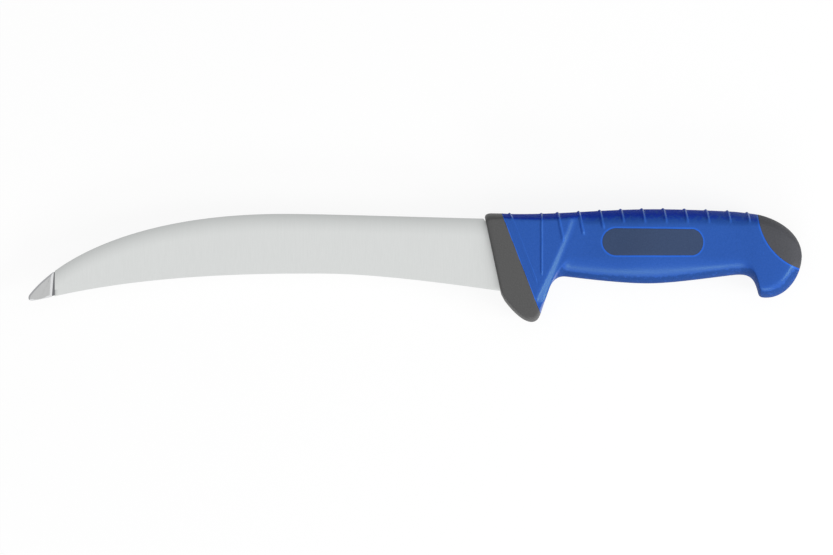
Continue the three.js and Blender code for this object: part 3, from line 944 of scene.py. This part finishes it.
# spark-eroded grain of a moulded surface, coarser patches of it and smears from handling
def mouldGrain():
    group, given, out = newGroup(
        "mouldGrain", (("Grain scale", 1500.0), ("Smear scale", 60.0), ("Patch share", 0.4)),
        ("Height", "Speck", "Smear", "Patch"))
    link = group.links.new
    place = addNode(group, "ShaderNodeTexCoord")
    grain, smears = given.outputs["Grain scale"], given.outputs["Smear scale"]
    wider = calc(group, "MULTIPLY", grain, given.outputs["Patch share"])
    fine = noiseNode(group, 3.0, 0.6)
    pits = addNode(group, "ShaderNodeTexVoronoi", feature="SMOOTH_F1")
    smear = noiseNode(group, 4.0)
    patch = noiseNode(group, 3.0)
    for node, scale in ((fine, grain), (pits, grain), (smear, smears), (patch, wider)):
        link(place.outputs["Object"], node.inputs["Vector"])
        link(scale, node.inputs["Scale"])
    height = calc(group, "ADD", fine.outputs["Fac"], pits.outputs["Distance"])
    link(height, out.inputs["Height"])
    for node, label in ((fine, "Speck"), (smear, "Smear"), (patch, "Patch")):
        link(node.outputs["Fac"], out.inputs[label])
    return group


# fine lines of a belt grind, across the blade
def grindLines():
    group, given, out = newGroup(
        "grindLines", (("Line scale", 2600.0), ("Stretch", 0.035), ("Cloud scale", 30.0)),
        ("Height", "Line", "Cloud"))
    link = group.links.new
    place = addNode(group, "ShaderNodeTexCoord")
    squash = addNode(group, "ShaderNodeCombineXYZ")
    split = addNode(group, "ShaderNodeSeparateXYZ")
    link(place.outputs["Object"], split.inputs[0])
    thin = calc(group, "MULTIPLY", split.outputs["Y"], given.outputs["Stretch"])
    link(split.outputs["X"], squash.inputs["X"])
    link(thin, squash.inputs["Y"])
    link(split.outputs["Z"], squash.inputs["Z"])
    lines = noiseNode(group, 4.0, 0.65)
    link(squash.outputs[0], lines.inputs["Vector"])
    link(given.outputs["Line scale"], lines.inputs["Scale"])
    cloud = noiseNode(group, 3.0)
    link(place.outputs["Object"], cloud.inputs["Vector"])
    link(given.outputs["Cloud scale"], cloud.inputs["Scale"])
    for node, label in ((lines, "Height"), (lines, "Line"), (cloud, "Cloud")):
        link(node.outputs["Fac"], out.inputs[label])
    return group


grainGroup = mouldGrain()
grindGroup = grindLines()


def newFinish(name):
    finish = bpy.data.materials.new(name)
    finish.use_nodes = True
    return finish, finish.node_tree, finish.node_tree.nodes["Principled BSDF"]


def spread(tree, source, low, high, fromLow=0.3, fromHigh=0.7):
    node = addNode(tree, "ShaderNodeMapRange")
    node.inputs["From Min"].default_value = fromLow
    node.inputs["From Max"].default_value = fromHigh
    node.inputs["To Min"].default_value = low
    node.inputs["To Max"].default_value = high
    tree.links.new(source, node.inputs["Value"])
    return node.outputs["Result"]


def tint(tree, mask, a, b):
    node = addNode(tree, "ShaderNodeMix", data_type="RGBA")
    tree.links.new(mask, node.inputs["Factor"])
    for socket, colour in ((node.inputs[6], a), (node.inputs[7], b)):
        if isinstance(colour, tuple):
            socket.default_value = (*colour, 1.0)
        else:
            tree.links.new(colour, socket)
    return node.outputs[2]


def bumped(tree, shader, height, depth):
    node = addNode(tree, "ShaderNodeBump")
    node.inputs["Distance"].default_value = depth
    node.inputs["Strength"].default_value = 1.0
    tree.links.new(height, node.inputs["Height"])
    tree.links.new(node.outputs["Normal"], shader.inputs["Normal"])


plastics = {
    "bolsterGrey": {
        "dark": (0.073, 0.073, 0.073), "light": (0.087, 0.087, 0.087),
        "rough": (0.52, 0.62), "shine": 0.35, "grainScale": 1500, "grainDepth": 4e-5},
    "capGrey": {
        "dark": (0.055, 0.057, 0.066), "light": (0.068, 0.07, 0.08),
        "back": (0.078, 0.08, 0.091),    # painted light: paler on the cap's back, where it turns away from the light
        "rough": (0.66, 0.78), "shine": 0.35, "grainScale": 1500, "grainDepth": 4e-5},
    "coreGrey": {
        "dark": (0.06, 0.06, 0.062), "light": (0.075, 0.075, 0.077),
        "rough": (0.5, 0.6), "shine": 0.35, "grainScale": 1200, "grainDepth": 4e-5},
    "inlaySlate": {
        "dark": (0.0205, 0.045, 0.113), "light": (0.027, 0.056, 0.134),
        "rough": (0.5, 0.6), "shine": 0.35, "grainScale": 1700, "grainDepth": 3e-5},
}


def plasticFinish(name, look):
    finish, tree, shader = newFinish(name)
    shader.inputs["Specular IOR Level"].default_value = look["shine"]
    grain = addNode(tree, "ShaderNodeGroup", node_tree=grainGroup)
    grain.inputs["Grain scale"].default_value = look["grainScale"]
    speck = spread(tree, grain.outputs["Speck"], 0.0, 1.0)
    colour = tint(tree, speck, look["dark"], look["light"])
    tree.links.new(colour, shader.inputs["Base Color"])
    smear = spread(tree, grain.outputs["Smear"], *look["rough"])
    tree.links.new(smear, shader.inputs["Roughness"])
    bumped(tree, shader, grain.outputs["Height"], look["grainDepth"])
    return finish, tree, shader, grain, colour


bolsterFinish = plasticFinish("bolsterGrey", plastics["bolsterGrey"])[0]
coreFinish = plasticFinish("coreGrey", plastics["coreGrey"])[0]
inlayFinish = plasticFinish("inlaySlate", plastics["inlaySlate"])[0]
capFinish, capTree, capShader, _, capColour = plasticFinish("capGrey", plastics["capGrey"])
# painted light: the cap's back is paler, against its shade
capBackLight = addNode(capTree, "ShaderNodeAttribute", attribute_name="back").outputs["Fac"]
capColour = tint(capTree, capBackLight, capColour, plastics["capGrey"]["back"])
capTree.links.new(capColour, capShader.inputs["Base Color"])


gripBlue = {
    "dark": (0.0165, 0.079, 0.404),
    "light": (0.0225, 0.093, 0.448),
    "lip": (0.02, 0.125, 0.68),        # brighter, more saturated blue next to the hard pieces
    "lipWidth": (0.4, 0.95),
    "lipThinner": 2.2,                 # along the bolster
    "back": (0.001, 0.033, 0.49),      # painted shade: deeper, darker blue on the back and underside, where they turn from the light; their grain is coarser too
    "underShade": (0.01, 0.055, 0.275),
    # painted highlight: paler blue on the ribs' rear sides
    "ribHighlight": (0.022, 0.105, 0.5),
    "ragged": 0.6,                     # how much the grain breaks up those borders
    "raggedEdge": (0.2, 0.8),
    "shine": 0.28,
    "gloss": (0.55, 1.0, 0.42),        # tint of that shine
    "rough": (0.31, 0.37),
    "zoneRough": 0.7,
    "grainScale": 1500,
    "grainDepth": 3e-5,
    "zoneDepth": 1.2e-4,
}


# millimetres from the nearest seam of the grip, in side view
def seamDistance(tree):
    place = addNode(tree, "ShaderNodeTexCoord")
    shift = addNode(tree, "ShaderNodeVectorMath", operation="SUBTRACT")
    shift.inputs[1].default_value = zero
    scale = addNode(tree, "ShaderNodeVectorMath", operation="SCALE")
    scale.inputs["Scale"].default_value = 1 / mm
    split = addNode(tree, "ShaderNodeSeparateXYZ")
    tree.links.new(place.outputs["Object"], shift.inputs[0])
    tree.links.new(shift.outputs[0], scale.inputs[0])
    tree.links.new(scale.outputs[0], split.inputs[0])
    x, y = split.outputs["X"], split.outputs["Y"]

    def lengthOf(a, b):
        squares = [calc(tree, "MULTIPLY", value, value) for value in (a, b)]
        return calc(tree, "SQRT", calc(tree, "ADD", *squares))

    share = calc(tree, "DIVIDE", calc(tree, "SUBTRACT", x, inlay["start"]), inlay["length"])
    slip = calc(tree, "MULTIPLY", share, inlay["taper"] / 2)
    rise = calc(tree, "SUBTRACT", y, calc(tree, "SUBTRACT", inlay["centre"], slip))
    half = calc(tree, "SUBTRACT", inlay["height"] / 2, slip)
    front, rear = inlay["endDepths"]
    rearCentre = inlay["start"] + inlay["length"] - rear
    before = calc(tree, "MAXIMUM", calc(tree, "SUBTRACT", inlay["start"] + front, x), 0.0)
    after = calc(tree, "MAXIMUM", calc(tree, "SUBTRACT", x, rearCentre), 0.0)
    shares = [calc(tree, "DIVIDE", a, b) for a, b in ((before, front), (after, rear))]
    past = calc(tree, "ADD", *shares)
    ring = lengthOf(past, calc(tree, "DIVIDE", rise, half))
    toInlay = calc(tree, "MULTIPLY", calc(tree, "SUBTRACT", ring, 1.0), inlay["height"] / 2)

    top, foot = Vector(drawing["seamTop"]), Vector(drawing["seamFoot"])
    run = (foot - top).normalized()
    terms = [calc(tree, "MULTIPLY", a, b) for a, b in ((y, run.x), (x, run.y))]
    toSeam = calc(tree, "SUBTRACT", calc(tree, "SUBTRACT", *terms), top.y * run.x - top.x * run.y)
    toSeam = calc(tree, "MULTIPLY", toSeam, gripBlue["lipThinner"])
    offCentre = [calc(tree, "SUBTRACT", a, b) for a, b in zip((x, y), cap["centre"])]
    toCap = calc(tree, "SUBTRACT", lengthOf(*offCentre), cap["radius"])
    near = [calc(tree, "ABSOLUTE", d) for d in (toInlay, toSeam, toCap)]
    return calc(tree, "MINIMUM", calc(tree, "MINIMUM", near[0], near[1]), near[2])


gripFinish, gripTree, gripShader, gripGrain, gripColour = plasticFinish("gripBlue", gripBlue)
raggedness = spread(
    gripTree, gripGrain.outputs["Patch"], -gripBlue["ragged"], gripBlue["ragged"])
zoneShare = None
# painted shade: the back and underside zones tint the blue darker
for name in shadeZones:
    share = addNode(gripTree, "ShaderNodeAttribute", attribute_name=name).outputs["Fac"]
    broken = calc(gripTree, "ADD", share, raggedness)
    broken = spread(gripTree, broken, 0.0, 1.0, *gripBlue["raggedEdge"])
    mask = calc(gripTree, "MULTIPLY", share, broken)
    gripColour = tint(gripTree, mask, gripColour, gripBlue[name])
    zoneShare = share if zoneShare is None else calc(gripTree, "MAXIMUM", zoneShare, share)
# painted highlight on the ribs' rear sides
ribHighlight = addNode(gripTree, "ShaderNodeAttribute", attribute_name="ribHighlight").outputs["Fac"]
gripColour = tint(gripTree, ribHighlight, gripColour, gripBlue["ribHighlight"])
lipMask = spread(gripTree, seamDistance(gripTree), 1.0, 0.0, *gripBlue["lipWidth"])
gripColour = tint(gripTree, lipMask, gripColour, gripBlue["lip"])
gripTree.links.new(gripColour, gripShader.inputs["Base Color"])
gripRough = addNode(gripTree, "ShaderNodeMix", data_type="FLOAT")
gripTree.links.new(zoneShare, gripRough.inputs["Factor"])
gripSmear = spread(gripTree, gripGrain.outputs["Smear"], *gripBlue["rough"])
gripTree.links.new(gripSmear, gripRough.inputs[2])
gripRough.inputs[3].default_value = gripBlue["zoneRough"]
gripTree.links.new(gripRough.outputs[0], gripShader.inputs["Roughness"])
zoneDepth = gripBlue["zoneDepth"] / gripBlue["grainDepth"]
deeper = spread(gripTree, zoneShare, 1.0, zoneDepth, 0.0, 1.0)
gripHeight = calc(gripTree, "MULTIPLY", gripGrain.outputs["Height"], deeper)
bumped(gripTree, gripShader, gripHeight, gripBlue["grainDepth"])
gripShader.inputs["Specular Tint"].default_value = (*gripBlue["gloss"], 1.0)


steels = {
    "groundSteel": {
        "dark": (0.69, 0.705, 0.698), "light": (0.72, 0.735, 0.728), "rough": (0.33, 0.39),
        # painted shade: a little darker where the faces round off under the spine
        "crown": (0.5, 0.513, 0.508), "crownReach": 8.0, "crownFade": 1.5},
    "tipSteel": {
        "dark": (0.51, 0.515, 0.515), "light": (0.56, 0.565, 0.565), "rough": (0.26, 0.34)},
    "tipRimShadeSteel": {
        "dark": (0.36, 0.362, 0.375), "light": (0.41, 0.412, 0.425), "rough": (0.3, 0.4)},
    "tipRimHighlightSteel": {
        "dark": (0.7, 0.705, 0.715), "light": (0.77, 0.775, 0.785), "rough": (0.2, 0.28)},
    "jointShadeSteel": {
        "dark": (0.2, 0.202, 0.212), "light": (0.25, 0.252, 0.262), "rough": (0.5, 0.65)},
}
grindDepth = 2e-6


def steelFinish(name):
    look = steels[name]
    finish, tree, shader = newFinish(name)
    shader.inputs["Metallic"].default_value = 1.0
    grind = addNode(tree, "ShaderNodeGroup", node_tree=grindGroup)
    line = spread(tree, grind.outputs["Line"], 0.0, 1.0)
    colour = tint(tree, line, look["dark"], look["light"])
    # painted shade: darker towards the spine
    if "crown" in look:
        fromSpine = addNode(tree, "ShaderNodeAttribute", attribute_name="fromSpine")
        crown = spread(tree, fromSpine.outputs["Fac"], 1.0, 0.0, 0.0, look["crownReach"])
        crown = calc(tree, "POWER", crown, look["crownFade"])
        colour = tint(tree, crown, colour, look["crown"])
    tree.links.new(colour, shader.inputs["Base Color"])
    cloud = spread(tree, grind.outputs["Cloud"], *look["rough"])
    tree.links.new(cloud, shader.inputs["Roughness"])
    bumped(tree, shader, grind.outputs["Height"], grindDepth)
    return finish


bladeFinish = steelFinish("groundSteel")
tipFinish = steelFinish("tipSteel")
tipRimShadeFinish = steelFinish("tipRimShadeSteel")
tipRimHighlightFinish = steelFinish("tipRimHighlightSteel")
jointShadeFinish = steelFinish("jointShadeSteel")

dress = (
    (bladePiece, "blade", "blade_steel", bladeFinish),
    (tipPiece, "tip_guard", "tip_steel", tipFinish),
    (bolster, "front_bolster", "bolster_plastic", bolsterFinish),
    (grip, "grip_sleeve", "grip_elastomer", gripFinish),
    (inlays[0], "left_inlay", "inlay_plastic", inlayFinish),
    (inlays[1], "right_inlay", "inlay_plastic", inlayFinish),
    (buttCap, "butt_cap", "cap_plastic", capFinish),
    (corePiece, "handle_core", "core_plastic", coreFinish),
)
for piece, node, slot, finish in dress:
    piece.data.materials.clear()
    piece.data.materials.append(finish)
    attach(piece, "root")
    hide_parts(node)
# painted shade: the tongue in the joint gets a dark steel, for the shade between blade and tip
bladePiece.data.materials.append(jointShadeFinish)
for face in bladePiece.data.polygons:
    inJoint = drawn(face.center).x < blade["front"] - blade["tongueShadeFrom"]
    face.material_index = 1 if inJoint else 0
# painted shade and painted highlight: the tip's rim is darker along the spine and nose, and
# brighter along the joint and beside its foot, by the way each face is turned
tipPiece.data.materials.append(tipRimShadeFinish)
tipPiece.data.materials.append(tipRimHighlightFinish)
for face in tipPiece.data.polygons:
    if abs(face.normal.z) < tip["rimFacing"]:
        outward = face.normal.to_2d().normalized()
        bright = outward.x > tip["jointFacing"] or outward.y < tip["footFacing"]
        face.material_index = 2 if bright else 1
print("finishes on", len(dress), "pieces")

# studio
studio = {
    "floorSize": 12.0,
    "floorTone": 0.45,
    "floorWhite": 0.88,     # plain white where the floor is seen, the rest keeps the shadow
    "dim": 0.05,
    # soft fields of light, by direction
    "fields": (
        {"towards": (0.08, -0.16, 0.98), "edge": 0.35, "full": 0.92, "level": 0.95},
    ),
    # turn and rise in degrees; blade and tip are spared these two
    "lamps": (
        {"name": "frontBox", "turn": -80, "rise": 23, "distance": 1.6,
         "size": (0.95, 0.35), "radiance": 8.5},
        {"name": "sideBox", "turn": -18, "rise": 28, "distance": 1.6,
         "size": (0.65, 0.6), "radiance": 11.0},
    ),
}


# what the camera sees, straight or by reflection
def seenShare(tree):
    ray = addNode(tree, "ShaderNodeLightPath")
    byWay = calc(tree, "MAXIMUM", ray.outputs["Is Glossy Ray"], ray.outputs["Is Transmission Ray"])
    return calc(tree, "MAXIMUM", ray.outputs["Is Camera Ray"], byWay)


bpy.ops.object.select_all(action="DESELECT")
bpy.ops.mesh.primitive_plane_add(size=studio["floorSize"], location=(0, 0, 0))
floor = bpy.context.object
floor.name = "floor"
floorFinish, floorTree, floorShader = newFinish("paleFloor")
floorShader.inputs["Roughness"].default_value = 0.9
glow = addNode(floorTree, "ShaderNodeEmission")
floorSeen = seenShare(floorTree)
tone = tint(floorTree, floorSeen, (studio["floorTone"],) * 3, (1.0, 1.0, 1.0))
floorTree.links.new(tone, floorShader.inputs["Base Color"])
blend = addNode(floorTree, "ShaderNodeMixShader")
white = calc(floorTree, "MULTIPLY", floorSeen, studio["floorWhite"])
floorTree.links.new(white, blend.inputs[0])
floorTree.links.new(floorShader.outputs[0], blend.inputs[1])
floorTree.links.new(glow.outputs[0], blend.inputs[2])
floorTree.links.new(blend.outputs[0], floorTree.nodes["Material Output"].inputs["Surface"])
floor.data.materials.append(floorFinish)

world = bpy.data.worlds.new("softRoom")
bpy.context.scene.world = world
world.use_nodes = True
room = world.node_tree
sky = room.nodes["Background"]
direction = addNode(room, "ShaderNodeTexCoord")
light = studio["dim"]
for field in studio["fields"]:
    facing = addNode(room, "ShaderNodeVectorMath", operation="DOT_PRODUCT")
    facing.inputs[1].default_value = Vector(field["towards"]).normalized()
    room.links.new(direction.outputs["Generated"], facing.inputs[0])
    soft = addNode(room, "ShaderNodeMapRange", interpolation_type="SMOOTHSTEP")
    soft.inputs["From Min"].default_value = field["edge"]
    soft.inputs["From Max"].default_value = field["full"]
    soft.inputs["To Max"].default_value = field["level"]
    room.links.new(facing.outputs["Value"], soft.inputs["Value"])
    light = calc(room, "ADD", soft.outputs["Result"], light)
lit = addNode(room, "ShaderNodeMix", data_type="FLOAT")
room.links.new(seenShare(room), lit.inputs["Factor"])
room.links.new(light, lit.inputs[2])
lit.inputs[3].default_value = 1.0
room.links.new(lit.outputs[0], sky.inputs["Strength"])
sky.inputs["Color"].default_value = (1, 1, 1, 1)

middle = at(*view["looksAt"])
spared = bpy.data.collections.new("spared")
spared.objects.link(bladePiece)
spared.objects.link(tipPiece)
for item in spared.collection_objects:
    item.light_linking.link_state = "EXCLUDE"
for lamp in studio["lamps"]:
    turn, rise = math.radians(lamp["turn"]), math.radians(lamp["rise"])
    level = math.cos(rise)
    towards = Vector((math.cos(turn) * level, math.sin(turn) * level, math.sin(rise)))
    spot = middle + towards * lamp["distance"]
    bpy.ops.object.light_add(type="AREA", location=spot)
    box = bpy.context.object
    box.name = lamp["name"]
    box.visible_camera = False
    box.light_linking.receiver_collection = spared
    box.data.shape = "RECTANGLE"
    box.data.size, box.data.size_y = lamp["size"]
    box.data.energy = lamp["radiance"] * math.pi * box.data.size * box.data.size_y
    box.rotation_euler = (middle - spot).to_track_quat("-Z", "Y").to_euler()

bpy.context.scene.view_settings.view_transform = "Standard"
